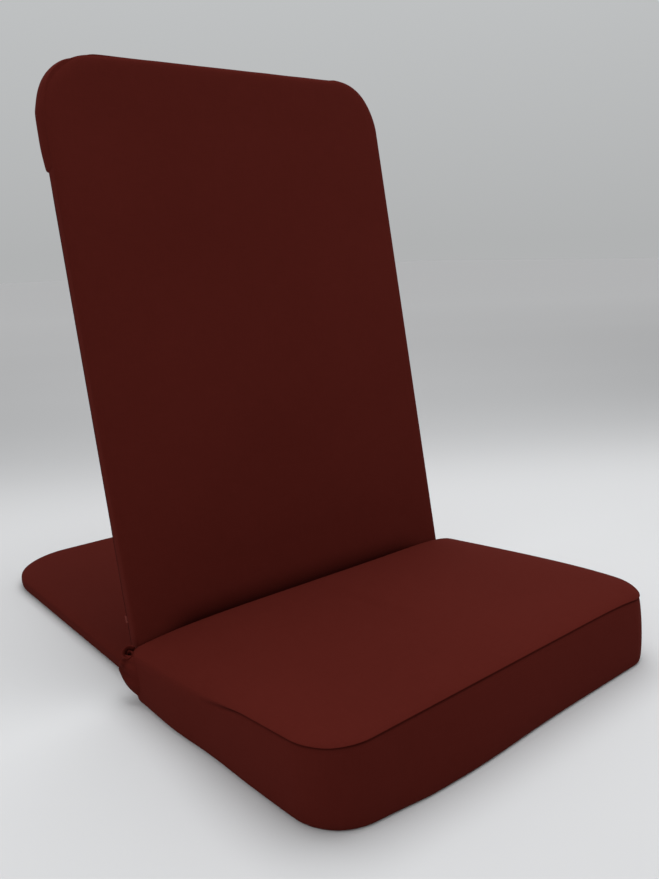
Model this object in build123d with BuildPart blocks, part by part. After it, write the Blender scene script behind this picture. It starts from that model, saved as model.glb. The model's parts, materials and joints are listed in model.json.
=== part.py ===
"""Folding floor chair: a flat padded backrest hinged to a flat base panel that lies on
the floor behind it, with a loose wedge-shaped seat cushion tethered in front.

Millimetres, +Z up, the sitter faces -Y.  The origin is on the floor under the middle of
the chair.  Two bent tube frames carry the panels and meet at two riveted hinge lugs.
"""
import os
from math import atan2, cos, radians, sin

from build123d import *

os.makedirs("parts", exist_ok=True)

# ------------------------------------------------------------------ driving sizes
# backrest
BACK_WIDTH = 430.0  # over the side strips
BACK_LENGTH = 587.0  # pivot axis to the top edge, along the slope
BACK_TILT = 11.0  # degrees behind the vertical, resting on the stops
BACK_CORNER = 62.0  # top corners
BACK_SIDE_HEM = 30.0  # pivot axis up to the hem beside each leg
BACK_MID_HEM = 6.0  # pivot axis down to the hem between the legs
HOOD_LENGTH = 132.0  # rear pocket, from the top edge down

# base panel on the floor
BASE_REACH = 430.0  # pivot axis to the rear edge
BASE_CORNER = 90.0  # rear corners
BASE_SIDE_HEM = 30.0  # pivot axis back to the hem beside each lug
BASE_MID_HEM = 10.0  # pivot axis forward to the hem between the lugs

# seat cushion
SEAT_WIDTH = 468.0
SEAT_REACH = 316.0  # pivot axis to the front face
SEAT_GAP = 18.0  # pivot axis to the rear face
SEAT_FRONT_HEIGHT = 76.0  # floor to the seam of the top panel, at the front
SEAT_REAR_HEIGHT = 48.0  # the same at the rear
SEAT_FRONT_CORNER = 48.0
SEAT_REAR_CORNER = 20.0
SEAT_LEAST_CORNER = 12.0
# drawn-in sides: how far each level stands in from the widest, at a share of the height
SEAT_SIDE_LEVELS = ((5.0, 0.0), (0.0, 0.45), (2.6, 1.0))
# crown: how far in from the widest, and how high above the seam
SEAT_CROWN_LEVELS = ((2.6, 0.0), (18.0, 3.8), (70.0, 8.0))

# tubes and bars
TUBE_DIAMETER = 16.0
TUBE_WALL = 1.5
BAR_DIAMETER = 12.0
BAR_WALL = 1.2
BACK_LOW_BAR = 62.0  # pivot axis to the lower cross bar, along the slope
BACK_MID_BAR = 325.0
BASE_BAR = 42.0  # pivot axis back to the base cross tube

# cloth
FABRIC = 1.2
CLOTH_FIT = 0.4  # slack between a cover and the frame inside it
FOAM_FIT = 0.3  # slack between the seat cover and its foam
WELD_GAP = 0.1  # fit-up gap of a coped tube end

# hinge
PIVOT_HEIGHT = 60.0
LEG_BELOW = 14.0  # pivot axis to the end of the leg tube
FOOT_AHEAD = 14.0  # pivot axis forward to the end of the base tube
LUG_THICKNESS = 3.0
LUG_HUB_RADIUS = 9.0
LUG_FOOT_LENGTH = 40.0
LUG_FOOT_HEIGHT = 15.0
LUG_FLOOR_GAP = 3.0
LUG_EAR_WIDTH = 6.0
LUG_EAR_REACH = 25.0  # pivot axis to the top of the stop ear
LUG_EAR_ROUND = 2.5
RIVET_DIAMETER = 6.0
RIVET_HEAD_DIAMETER = 12.0
RIVET_HEAD = 1.4
RIVET_HEAD_BEVEL = 0.9
HEM_CLEARANCE = 8.0  # rivet head to the middle part of either cover
RUNNING_FIT = 0.08  # radial clearance of the turning holes
SIDE_FIT = 0.1  # end clearance of washers and heads
WASHER_DIAMETER = 15.0
WASHER_THICKNESS = 2.9
PIN_DIAMETER = 6.0
PIN_UP = 18.5  # pivot axis to the stop pin, along the leg
PIN_REACH = 1.0  # how far the pin passes the lug
STOP_GAP = 0.3
PLUG_SHANK = 8.0
PLUG_CAP = 2.0
PLUG_FIT = 0.05

# tether straps between the seat and the base cross tube
STRAP_WIDTH = 25.0
STRAP_PLY = 1.2
STRAP_FIT = 0.3
STRAP_SPACING = 230.0

# ------------------------------------------------------------------ what follows
TUBE_RADIUS = TUBE_DIAMETER / 2
BAR_RADIUS = BAR_DIAMETER / 2
PANEL_IN = TUBE_RADIUS + CLOTH_FIT  # mid-plane to the inside of a cover
PANEL_OUT = PANEL_IN + FABRIC
EDGE_TO_TUBE = PANEL_OUT  # cover edge to the axis of the tube inside it
PIVOT_Y = (SEAT_REACH - BASE_REACH) / 2
LEG_X = BACK_WIDTH / 2 - EDGE_TO_TUBE
LEG_IN_X = LEG_X - TUBE_RADIUS
LEG_OUT_X = LEG_X + TUBE_RADIUS
LUG_OUT_X = LEG_IN_X - SIDE_FIT - WASHER_THICKNESS
LUG_IN_X = LUG_OUT_X - LUG_THICKNESS
BASE_TUBE_X = LUG_OUT_X + TUBE_RADIUS
BASE_WIDTH = 2 * (BASE_TUBE_X + EDGE_TO_TUBE)
MIDDLE_HALF = LUG_IN_X - RIVET_HEAD - HEM_CLEARANCE  # covers between the hinges
RIVET_RADIUS = RIVET_DIAMETER / 2
PIN_RADIUS = PIN_DIAMETER / 2
TILT = radians(BACK_TILT)

PIVOT = Vector(0, PIVOT_Y, PIVOT_HEIGHT)
BACK = Plane(origin=PIVOT, x_dir=(1, 0, 0), z_dir=(0, -cos(TILT), sin(TILT)))
BACK_SIDE = Plane(origin=PIVOT, x_dir=(0, cos(TILT), -sin(TILT)), z_dir=(1, 0, 0))
HINGE = Plane(origin=PIVOT, x_dir=(0, 1, 0), z_dir=(1, 0, 0))
BASE = Plane(origin=(0, PIVOT_Y, PANEL_OUT), x_dir=(1, 0, 0), z_dir=(0, 0, 1))


def finish(piece, node):
    """Label a finished piece and write it under its node's name."""
    piece.part.label = node
    export_step(piece.part, f"parts/{node}.step")


def back_outline(plane, inset):
    """Backrest outline: rounded top corners, with a lower middle between the legs."""
    half = BACK_WIDTH / 2 - inset
    top = BACK_LENGTH - inset
    with BuildSketch(plane) as outline:
        with BuildLine():
            Polyline(
                (-half, BACK_SIDE_HEM),
                (-half, top),
                (half, top),
                (half, BACK_SIDE_HEM),
                (MIDDLE_HALF, BACK_SIDE_HEM),
                (MIDDLE_HALF, -BACK_MID_HEM),
                (-MIDDLE_HALF, -BACK_MID_HEM),
                (-MIDDLE_HALF, BACK_SIDE_HEM),
                close=True,
            )
        make_face()
        fillet(outline.vertices().group_by(Axis.Y)[-1], BACK_CORNER - inset)
    return outline.sketch


def base_outline(plane, inset):
    """Base panel outline: rounded rear corners, with a middle that reaches between the lugs."""
    half = BASE_WIDTH / 2 - inset
    rear = BASE_REACH - inset
    with BuildSketch(plane) as outline:
        with BuildLine():
            Polyline(
                (-half, BASE_SIDE_HEM),
                (-half, rear),
                (half, rear),
                (half, BASE_SIDE_HEM),
                (MIDDLE_HALF, BASE_SIDE_HEM),
                (MIDDLE_HALF, -BASE_MID_HEM),
                (-MIDDLE_HALF, -BASE_MID_HEM),
                (-MIDDLE_HALF, BASE_SIDE_HEM),
                close=True,
            )
        make_face()
        fillet(outline.vertices().group_by(Axis.Y)[-1], BASE_CORNER - inset)
    return outline.sketch


def seat_plane(share, lift=0.0):
    """Plane at a share of the seat's side height, which rises from rear to front."""
    rear = SEAT_REAR_HEIGHT * share + lift
    front = SEAT_FRONT_HEIGHT * share + lift
    slope = atan2(front - rear, SEAT_REACH - SEAT_GAP)
    middle = PIVOT_Y - (SEAT_REACH + SEAT_GAP) / 2
    return Plane(
        origin=(0, middle, (rear + front) / 2),
        x_dir=(1, 0, 0),
        z_dir=(0, sin(slope), cos(slope)),
    )


def seat_section(inset, share, lift):
    """Rounded outline of the seat on one of its levels."""
    plane = seat_plane(share, lift)
    depth = (SEAT_REACH - SEAT_GAP - 2 * inset) / plane.z_dir.Z
    with BuildSketch(plane) as outline:
        Rectangle(SEAT_WIDTH - 2 * inset, depth)
        front_round = max(SEAT_FRONT_CORNER - inset, SEAT_LEAST_CORNER)
        rear_round = max(SEAT_REAR_CORNER - inset, SEAT_LEAST_CORNER)
        fillet(outline.vertices().group_by(Axis.Y)[0], front_round)
        fillet(outline.vertices().group_by(Axis.Y)[-1], rear_round)
    return outline.sketch


def seat_sides(gap):
    """Sections of the seat's sides, a cloth gap inside the outer face."""
    return [
        seat_section(inset + gap, share, gap * (1 - 2 * share))
        for inset, share in SEAT_SIDE_LEVELS
    ]


def seat_crown(gap):
    """Sections of the seat's crowned top, a cloth gap inside the outer face."""
    return [seat_section(inset + gap, 1, rise - gap) for inset, rise in SEAT_CROWN_LEVELS]


# ------------------------------------------------------------------ base frame
# one tube, bent round the rear corners, lying inside the base cover
with BuildPart() as base_frame:
    with BuildLine(BASE) as base_path:
        FilletPolyline(
            (-BASE_TUBE_X, -FOOT_AHEAD),
            (-BASE_TUBE_X, BASE_REACH - EDGE_TO_TUBE),
            (BASE_TUBE_X, BASE_REACH - EDGE_TO_TUBE),
            (BASE_TUBE_X, -FOOT_AHEAD),
            radius=BASE_CORNER - EDGE_TO_TUBE,
        )
    with BuildSketch(Plane(origin=base_path.line @ 0, z_dir=base_path.line % 0)):
        Circle(TUBE_RADIUS)
    sweep()
    # bored along its straights; the bends stay solid
    for run in base_path.edges().filter_by(GeomType.LINE):
        with BuildSketch(Plane(origin=run @ 0, z_dir=run % 0)):
            Circle(TUBE_RADIUS - TUBE_WALL)
        extrude(amount=run.length, mode=Mode.SUBTRACT)
finish(base_frame, "base_frame")

# cross tube that holds the side tubes apart, coped to them
with BuildPart() as base_cross_tube:
    with BuildSketch(Plane(origin=BASE.from_local_coords((0, BASE_BAR, 0)), z_dir=(1, 0, 0))):
        Circle(BAR_RADIUS)
        Circle(BAR_RADIUS - BAR_WALL, mode=Mode.SUBTRACT)
    extrude(amount=BASE_TUBE_X, both=True)
    with BuildSketch(Plane(origin=(BASE_TUBE_X, PIVOT_Y, PANEL_OUT), z_dir=(0, 1, 0))):
        Circle(TUBE_RADIUS + WELD_GAP)
    extrude(amount=BASE_REACH, mode=Mode.SUBTRACT)
    split(bisect_by=Plane.YZ, keep=Keep.TOP)
    mirror(about=Plane.YZ)
finish(base_cross_tube, "base_cross_tube")

# plastic plugs that close the front ends of the base tube
with BuildPart() as base_end_plugs:
    with BuildSketch(
        Plane(origin=(BASE_TUBE_X, PIVOT_Y - FOOT_AHEAD, PANEL_OUT), z_dir=(0, -1, 0))
    ) as plug_face:
        Circle(TUBE_RADIUS)
    extrude(amount=PLUG_CAP)
    with BuildSketch(
        Plane(origin=(BASE_TUBE_X, PIVOT_Y - FOOT_AHEAD, PANEL_OUT), z_dir=(0, 1, 0))
    ):
        Circle(TUBE_RADIUS - TUBE_WALL - PLUG_FIT)
    extrude(amount=PLUG_SHANK)
    mirror(about=Plane.YZ)
finish(base_end_plugs, "base_end_plugs")

# ------------------------------------------------------------------ base panel
with BuildPart() as base_bottom_panel:
    extrude(base_outline(BASE.offset(-PANEL_OUT), 0), amount=FABRIC)
finish(base_bottom_panel, "base_bottom_panel")

with BuildPart() as base_top_panel:
    extrude(base_outline(BASE.offset(PANEL_IN), 0), amount=FABRIC)
finish(base_top_panel, "base_top_panel")

# edge strip between the two panels, open at the front hem
with BuildPart() as base_gusset:
    extrude(base_outline(BASE, 0), amount=PANEL_IN, both=True)
    extrude(base_outline(BASE, FABRIC), amount=PANEL_IN, both=True, mode=Mode.SUBTRACT)
finish(base_gusset, "base_gusset")

# strip that closes the front hem, with a slot for each tether strap
BASE_PAD_HALF = BASE_TUBE_X - TUBE_RADIUS - CLOTH_FIT
with BuildPart() as base_hem_strip:
    with BuildSketch(BASE):
        with Locations((0, -BASE_MID_HEM)):
            Rectangle(
                2 * MIDDLE_HALF,
                BASE_MID_HEM + BASE_SIDE_HEM + FABRIC,
                align=(Align.CENTER, Align.MIN),
            )
        with Locations((0, BASE_SIDE_HEM)):
            Rectangle(2 * BASE_PAD_HALF, FABRIC, align=(Align.CENTER, Align.MIN))
        with Locations((0, FABRIC - BASE_MID_HEM)):
            Rectangle(
                2 * (MIDDLE_HALF - FABRIC),
                BASE_MID_HEM + BASE_SIDE_HEM,
                align=(Align.CENTER, Align.MIN),
                mode=Mode.SUBTRACT,
            )
    extrude(amount=PANEL_IN, both=True)
    with BuildSketch(Plane(origin=BASE.origin, x_dir=(1, 0, 0), z_dir=(0, -1, 0))):
        with Locations((-STRAP_SPACING / 2, 0), (STRAP_SPACING / 2, 0)):
            Rectangle(STRAP_WIDTH + 2 * CLOTH_FIT, 2 * STRAP_PLY + 2 * CLOTH_FIT)
    extrude(amount=BASE_MID_HEM, mode=Mode.SUBTRACT)
finish(base_hem_strip, "base_hem_strip")

# thin foam that fills the loop of the base tube
STRAP_LOOP = BAR_RADIUS + STRAP_FIT + STRAP_PLY
with BuildPart() as base_pad:
    with BuildSketch(BASE) as base_pad_outline:
        with Locations((0, BASE_SIDE_HEM + FABRIC)):
            Rectangle(
                2 * BASE_PAD_HALF,
                BASE_REACH - EDGE_TO_TUBE - TUBE_RADIUS - CLOTH_FIT - BASE_SIDE_HEM - FABRIC,
                align=(Align.CENTER, Align.MIN),
            )
        fillet(
            base_pad_outline.vertices().group_by(Axis.Y)[-1],
            BASE_CORNER - EDGE_TO_TUBE - TUBE_RADIUS - CLOTH_FIT,
        )
        with Locations((0, FABRIC - BASE_MID_HEM)):
            Rectangle(
                2 * (MIDDLE_HALF - FABRIC),
                BASE_MID_HEM + BASE_SIDE_HEM + FABRIC,
                align=(Align.CENTER, Align.MIN),
            )
    extrude(amount=PANEL_IN, both=True)
    with BuildSketch(Plane(origin=BASE.from_local_coords((0, BASE_BAR, 0)), z_dir=(1, 0, 0))):
        Circle(BAR_RADIUS + CLOTH_FIT)
    extrude(amount=BASE_TUBE_X, both=True, mode=Mode.SUBTRACT)
    # pockets for the tether straps, open to the front
    with BuildSketch(BASE):
        with Locations(
            (-STRAP_SPACING / 2, BASE_BAR + STRAP_LOOP + CLOTH_FIT),
            (STRAP_SPACING / 2, BASE_BAR + STRAP_LOOP + CLOTH_FIT),
        ):
            Rectangle(
                STRAP_WIDTH + 2 * CLOTH_FIT,
                BASE_BAR + STRAP_LOOP + CLOTH_FIT + BASE_MID_HEM,
                align=(Align.CENTER, Align.MAX),
            )
    extrude(amount=PANEL_IN, both=True, mode=Mode.SUBTRACT)
finish(base_pad, "base_pad")

# ------------------------------------------------------------------ seat cushion
with BuildPart() as seat_foam:
    loft(sections=seat_sides(FABRIC + FOAM_FIT), ruled=True)
    loft(sections=seat_crown(FABRIC + FOAM_FIT), ruled=True)
finish(seat_foam, "seat_foam")

# crowned top panel, sewn to the side band along the seam
with BuildPart() as seat_top_panel:
    loft(sections=seat_crown(0.0), ruled=True)
    loft(sections=seat_sides(FABRIC), ruled=True, mode=Mode.SUBTRACT)
    loft(sections=seat_crown(FABRIC), ruled=True, mode=Mode.SUBTRACT)
finish(seat_top_panel, "seat_top_panel")

with BuildPart() as seat_side_band:
    loft(sections=seat_sides(0.0), ruled=True)
    loft(sections=seat_sides(FABRIC), ruled=True, mode=Mode.SUBTRACT)
    loft(sections=seat_crown(FABRIC), ruled=True, mode=Mode.SUBTRACT)
    split(bisect_by=Plane.XY.offset(FABRIC), keep=Keep.TOP)
finish(seat_side_band, "seat_side_band")

with BuildPart() as seat_bottom_panel:
    loft(sections=seat_sides(0.0), ruled=True)
    split(bisect_by=Plane.XY.offset(FABRIC), keep=Keep.BOTTOM)
finish(seat_bottom_panel, "seat_bottom_panel")

# two webbing loops that hold the seat to the base cross tube, up to its drawn-in rear face
(low_inset, low_share), (wide_inset, wide_share) = SEAT_SIDE_LEVELS[:2]
strap_share = (PANEL_OUT / SEAT_REAR_HEIGHT - low_share) / (wide_share - low_share)
strap_reach = SEAT_GAP + low_inset + (wide_inset - low_inset) * strap_share - FOAM_FIT
with BuildPart() as seat_tethers:
    with BuildSketch(
        Plane(
            origin=(STRAP_SPACING / 2, PIVOT_Y, PANEL_OUT),
            x_dir=(0, 1, 0),
            z_dir=(1, 0, 0),
        )
    ):
        with Locations((-strap_reach, 0)):
            Rectangle(
                BASE_BAR + strap_reach,
                2 * STRAP_PLY,
                align=(Align.MIN, Align.CENTER),
            )
        with Locations((BASE_BAR, 0)):
            Circle(STRAP_LOOP)
            Circle(STRAP_LOOP - STRAP_PLY, mode=Mode.SUBTRACT)
    extrude(amount=STRAP_WIDTH / 2, both=True)
    mirror(about=Plane.YZ)
finish(seat_tethers, "seat_tethers")

# ------------------------------------------------------------------ hinge
# steel lugs on the inner side of the base tubes; the ear behind the leg is the stop
with BuildPart() as hinge_lugs:
    with BuildSketch(HINGE.offset(LUG_IN_X)):
        Circle(LUG_HUB_RADIUS)
        with Locations(
            (
                LUG_FOOT_LENGTH / 2 - FOOT_AHEAD,
                LUG_FLOOR_GAP + LUG_FOOT_HEIGHT / 2 - PIVOT_HEIGHT,
            )
        ):
            Rectangle(LUG_FOOT_LENGTH, LUG_FOOT_HEIGHT)
        make_hull()
    extrude(amount=LUG_THICKNESS)
    with BuildSketch(BACK_SIDE.offset(LUG_IN_X)) as ear:
        with Locations((PIN_RADIUS + STOP_GAP, 0)):
            Rectangle(LUG_EAR_WIDTH, LUG_EAR_REACH, align=(Align.MIN, Align.MIN))
        fillet(ear.vertices().group_by(Axis.Y)[-1], LUG_EAR_ROUND)
    extrude(amount=LUG_THICKNESS)
    with BuildSketch(HINGE.offset(LUG_IN_X)):
        Circle(RIVET_RADIUS)
    extrude(amount=LUG_THICKNESS, mode=Mode.SUBTRACT)
    mirror(about=Plane.YZ)
finish(hinge_lugs, "hinge_lugs")

# shouldered rivets, fast in the lugs, on which the legs turn
with BuildPart() as pivot_rivets:
    with BuildSketch(HINGE.offset(LUG_IN_X - RIVET_HEAD)):
        Circle(RIVET_HEAD_DIAMETER / 2)
    extrude(amount=RIVET_HEAD)
    chamfer(pivot_rivets.edges().group_by(Axis.X)[0], RIVET_HEAD_BEVEL)
    with BuildSketch(HINGE.offset(LUG_IN_X)):
        Circle(RIVET_RADIUS)
    extrude(amount=LEG_OUT_X + SIDE_FIT - LUG_IN_X)
    with BuildSketch(HINGE.offset(LEG_OUT_X + SIDE_FIT)):
        Circle(RIVET_HEAD_DIAMETER / 2)
    extrude(amount=RIVET_HEAD)
    chamfer(pivot_rivets.edges().group_by(Axis.X)[-1], RIVET_HEAD_BEVEL)
    mirror(about=Plane.YZ)
finish(pivot_rivets, "pivot_rivets")

with BuildPart() as pivot_washers:
    with BuildSketch(HINGE.offset(LUG_OUT_X)):
        Circle(WASHER_DIAMETER / 2)
        Circle(RIVET_RADIUS + RUNNING_FIT, mode=Mode.SUBTRACT)
    extrude(amount=WASHER_THICKNESS)
    mirror(about=Plane.YZ)
finish(pivot_washers, "pivot_washers")

# ------------------------------------------------------------------ back frame
with BuildPart() as back_frame:
    with BuildLine(BACK) as back_path:
        FilletPolyline(
            (-LEG_X, -LEG_BELOW),
            (-LEG_X, BACK_LENGTH - EDGE_TO_TUBE),
            (LEG_X, BACK_LENGTH - EDGE_TO_TUBE),
            (LEG_X, -LEG_BELOW),
            radius=BACK_CORNER - EDGE_TO_TUBE,
        )
    with BuildSketch(Plane(origin=back_path.line @ 0, z_dir=back_path.line % 0)):
        Circle(TUBE_RADIUS)
    sweep()
    # bored along its straights; the bends stay solid
    for run in back_path.edges().filter_by(GeomType.LINE):
        with BuildSketch(Plane(origin=run @ 0, z_dir=run % 0)):
            Circle(TUBE_RADIUS - TUBE_WALL)
        extrude(amount=run.length, mode=Mode.SUBTRACT)
    # rivet holes through both walls of each leg
    with BuildSketch(HINGE):
        Circle(RIVET_RADIUS + RUNNING_FIT)
    extrude(amount=LEG_OUT_X + TUBE_WALL, both=True, mode=Mode.SUBTRACT)
    # stop pin holes through the inner wall only
    with BuildSketch(BACK_SIDE):
        with Locations((0, PIN_UP)):
            Circle(PIN_RADIUS)
    extrude(amount=LEG_X, both=True, mode=Mode.SUBTRACT)
finish(back_frame, "back_frame")

for node, height in (("back_low_bar", BACK_LOW_BAR), ("back_mid_bar", BACK_MID_BAR)):
    with BuildPart() as cross_bar:
        with BuildSketch(Plane(origin=BACK.from_local_coords((0, height, 0)), z_dir=(1, 0, 0))):
            Circle(BAR_RADIUS)
            Circle(BAR_RADIUS - BAR_WALL, mode=Mode.SUBTRACT)
        extrude(amount=LEG_X, both=True)
        with BuildSketch(Plane(origin=BACK.from_local_coords((LEG_X, 0, 0)), z_dir=BACK.y_dir)):
            Circle(TUBE_RADIUS + WELD_GAP)
        extrude(amount=BACK_LENGTH, mode=Mode.SUBTRACT)
        split(bisect_by=Plane.YZ, keep=Keep.TOP)
        mirror(about=Plane.YZ)
    finish(cross_bar, node)

with BuildPart() as back_leg_plugs:
    with BuildSketch(
        Plane(origin=BACK.from_local_coords((LEG_X, -LEG_BELOW, 0)), z_dir=-BACK.y_dir)
    ):
        Circle(TUBE_RADIUS)
    extrude(amount=PLUG_CAP)
    with BuildSketch(
        Plane(origin=BACK.from_local_coords((LEG_X, -LEG_BELOW, 0)), z_dir=BACK.y_dir)
    ):
        Circle(TUBE_RADIUS - TUBE_WALL - PLUG_FIT)
    extrude(amount=PLUG_SHANK)
    mirror(about=Plane.YZ)
finish(back_leg_plugs, "back_leg_plugs")

# pins that meet the ears of the lugs when the backrest leans back
with BuildPart() as stop_pins:
    with BuildSketch(BACK_SIDE.offset(LUG_IN_X - PIN_REACH)):
        with Locations((0, PIN_UP)):
            Circle(PIN_RADIUS)
    extrude(amount=LEG_X - LUG_IN_X + PIN_REACH)
    mirror(about=Plane.YZ)
finish(stop_pins, "stop_pins")

# ------------------------------------------------------------------ back panel
with BuildPart() as back_front_panel:
    extrude(back_outline(BACK.offset(PANEL_IN), 0), amount=FABRIC)
finish(back_front_panel, "back_front_panel")

with BuildPart() as back_rear_panel:
    extrude(back_outline(BACK.offset(-PANEL_OUT), 0), amount=FABRIC)
finish(back_rear_panel, "back_rear_panel")

# strip round the sides and top between the two panels
with BuildPart() as back_gusset:
    extrude(back_outline(BACK, 0), amount=PANEL_IN, both=True)
    extrude(back_outline(BACK, FABRIC), amount=PANEL_IN, both=True, mode=Mode.SUBTRACT)
finish(back_gusset, "back_gusset")

# strip that closes the hem between the legs
BACK_PAD_HALF = LEG_X - TUBE_RADIUS - CLOTH_FIT
with BuildPart() as back_hem_strip:
    with BuildSketch(BACK):
        with Locations((0, -BACK_MID_HEM)):
            Rectangle(
                2 * MIDDLE_HALF,
                BACK_MID_HEM + BACK_SIDE_HEM + FABRIC,
                align=(Align.CENTER, Align.MIN),
            )
        with Locations((0, BACK_SIDE_HEM)):
            Rectangle(2 * BACK_PAD_HALF, FABRIC, align=(Align.CENTER, Align.MIN))
        with Locations((0, FABRIC - BACK_MID_HEM)):
            Rectangle(
                2 * (MIDDLE_HALF - FABRIC),
                BACK_MID_HEM + BACK_SIDE_HEM,
                align=(Align.CENTER, Align.MIN),
                mode=Mode.SUBTRACT,
            )
    extrude(amount=PANEL_IN, both=True)
finish(back_hem_strip, "back_hem_strip")

# foam board inside the loop of the back tube, bored for the cross bars
with BuildPart() as back_pad:
    with BuildSketch(BACK) as back_pad_outline:
        with Locations((0, BACK_SIDE_HEM + FABRIC)):
            Rectangle(
                2 * BACK_PAD_HALF,
                BACK_LENGTH - EDGE_TO_TUBE - TUBE_RADIUS - CLOTH_FIT - BACK_SIDE_HEM - FABRIC,
                align=(Align.CENTER, Align.MIN),
            )
        fillet(
            back_pad_outline.vertices().group_by(Axis.Y)[-1],
            BACK_CORNER - EDGE_TO_TUBE - TUBE_RADIUS - CLOTH_FIT,
        )
        with Locations((0, FABRIC - BACK_MID_HEM)):
            Rectangle(
                2 * (MIDDLE_HALF - FABRIC),
                BACK_MID_HEM + BACK_SIDE_HEM + FABRIC,
                align=(Align.CENTER, Align.MIN),
            )
    extrude(amount=PANEL_IN, both=True)
    with BuildSketch(Plane(origin=PIVOT, x_dir=BACK.y_dir, z_dir=(1, 0, 0))):
        with Locations((BACK_LOW_BAR, 0), (BACK_MID_BAR, 0)):
            Circle(BAR_RADIUS + CLOTH_FIT)
    extrude(amount=LEG_X, both=True, mode=Mode.SUBTRACT)
finish(back_pad, "back_pad")

# pocket over the rear and edges of the top of the backrest
HOOD_OUT = CLOTH_FIT + FABRIC
with BuildPart() as back_hood:
    extrude(
        back_outline(BACK.offset(-PANEL_OUT - HOOD_OUT), -HOOD_OUT),
        amount=2 * PANEL_OUT + HOOD_OUT,
    )
    extrude(
        back_outline(BACK.offset(-PANEL_OUT - CLOTH_FIT), -CLOTH_FIT),
        amount=2 * PANEL_OUT + CLOTH_FIT,
        mode=Mode.SUBTRACT,
    )
    split(
        bisect_by=Plane(
            origin=BACK.from_local_coords((0, BACK_LENGTH - HOOD_LENGTH, 0)),
            z_dir=BACK.y_dir,
        ),
        keep=Keep.TOP,
    )
finish(back_hood, "back_hood")
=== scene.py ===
import json
from math import atan2, cos, exp, pi, radians, sin, tan

import bpy
import numpy as np
from mathutils import Matrix, Vector, noise


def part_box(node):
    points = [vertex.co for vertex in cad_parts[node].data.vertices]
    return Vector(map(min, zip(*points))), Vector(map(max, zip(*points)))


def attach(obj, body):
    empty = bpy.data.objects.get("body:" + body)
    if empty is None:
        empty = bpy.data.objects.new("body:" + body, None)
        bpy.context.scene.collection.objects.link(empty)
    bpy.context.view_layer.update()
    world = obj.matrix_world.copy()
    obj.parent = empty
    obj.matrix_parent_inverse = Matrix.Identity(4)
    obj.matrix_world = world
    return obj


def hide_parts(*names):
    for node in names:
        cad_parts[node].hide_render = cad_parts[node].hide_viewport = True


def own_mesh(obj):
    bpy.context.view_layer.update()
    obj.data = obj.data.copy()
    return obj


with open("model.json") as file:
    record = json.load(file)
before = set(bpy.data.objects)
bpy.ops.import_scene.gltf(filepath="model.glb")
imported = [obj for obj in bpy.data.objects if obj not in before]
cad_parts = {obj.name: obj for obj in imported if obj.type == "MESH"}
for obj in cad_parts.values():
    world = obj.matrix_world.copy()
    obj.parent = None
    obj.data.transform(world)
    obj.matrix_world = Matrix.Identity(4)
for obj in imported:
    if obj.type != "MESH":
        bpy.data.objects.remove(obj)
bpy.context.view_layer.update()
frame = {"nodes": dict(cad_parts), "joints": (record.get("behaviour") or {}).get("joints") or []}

bl_info = {
    "name": "Folding floor chair",
    "version": (1, 0, 0),
    "blender": (4, 5, 0),
    "location": "3D View > Sidebar > Floor Chair",
    "description": "Dresses the folding floor chair in its cloth and lights it in a plain studio",
    "category": "Object",
}

MM = 0.001
PIVOT = Vector(frame["joints"][0]["pos_m"])
BACK_TILT = radians(11.0)
UP_SLOPE = Vector((0, sin(BACK_TILT), cos(BACK_TILT)))
BACK_FRONT = Vector((0, -cos(BACK_TILT), sin(BACK_TILT)))
# a strap's section, flat with round edges, in half widths and half thicknesses
STRAP_FACE = (
    (-1, 0), (-0.97, 0.8), (-0.85, 1), (-0.4, 1), (0, 1), (0.4, 1), (0.85, 1), (0.97, 0.8),
)
STRAP_SECTION = STRAP_FACE + tuple((-across, -up) for across, up in STRAP_FACE)
SIDES = ((-1, "left"), (1, "right"))
BACK_CORNER = 62 * MM
# how the cloth is pulled out of the round top corners, as (millimetres, angle, width of angle)
RIGHT_PULLS = ((3.7, 0.95, 0.5),)
LEFT_POCKET_PULLS = ((1.6, 0.72, 0.36), (-2.4, 1.28, 0.15))
COVER_HALF_THICKNESS = 9.6 * MM
# how far forward on the cushion's sides the sewn edge begins, as a share of its depth
SEWN_FROM, SEWN_FADE = 0.42, 0.22
CAMERA_SPOT = (-0.5454, -0.8193, 0.4424)
CAMERA_YAW, CAMERA_PITCH, CAMERA_ROLL = radians(37.966), radians(12.884), radians(-2.056)
OVERHEAD_SPOT, OVERHEAD_SIZE = (0.45, 0.05, 2.1), (2.2, 1.8)
SIDE_SPOT, SIDE_SIZE = (-1.5, 0.05, 0.6), (1.0, 1.0)
LAMP_AIM = Vector((0, 0, 0.1))
FLOOR_REACH = 14.0
# the floor's tones run a little askew to the main view
FLOOR_SKEW = radians(7.0)
# grey of the floor by distance behind the chair along the main view: pale near the chair, then painted
# shade of the room's dim end, then lighter far off as painted light where the lamps' light falls away
FLOOR_TONES_WITH_PAINTED_LIGHT = (
    (-0.60, 0.555), (-0.10, 0.570), (0.20, 0.530), (0.42, 0.530), (0.58, 0.500), (0.75, 0.440),
    (0.95, 0.400), (1.30, 0.385), (1.70, 0.425), (2.30, 0.480), (3.20, 0.555), (5.00, 0.630),
)


# ---- settings
class FloorChairCloth(bpy.types.PropertyGroup):
    maroon: bpy.props.FloatVectorProperty(
        name="Maroon", description="Colour of the upholstery cloth", subtype="COLOR",
        default=(0.0605, 0.0084, 0.0060), min=0, max=1)
    maroon_worn: bpy.props.FloatVectorProperty(
        name="Maroon, lifted nap", description="Colour where the nap is brushed up",
        subtype="COLOR", default=(0.0720, 0.0104, 0.0076), min=0, max=1)
    thread_pitch: bpy.props.FloatProperty(
        name="Thread pitch", description="From one thread of the weave to the next",
        default=0.00055, min=0.0002, max=0.003, subtype="DISTANCE", unit="LENGTH", precision=5)
    weave_depth: bpy.props.FloatProperty(
        name="Weave depth", description="How strongly the weave shows in the light",
        default=0.22, min=0, max=1)


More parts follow.
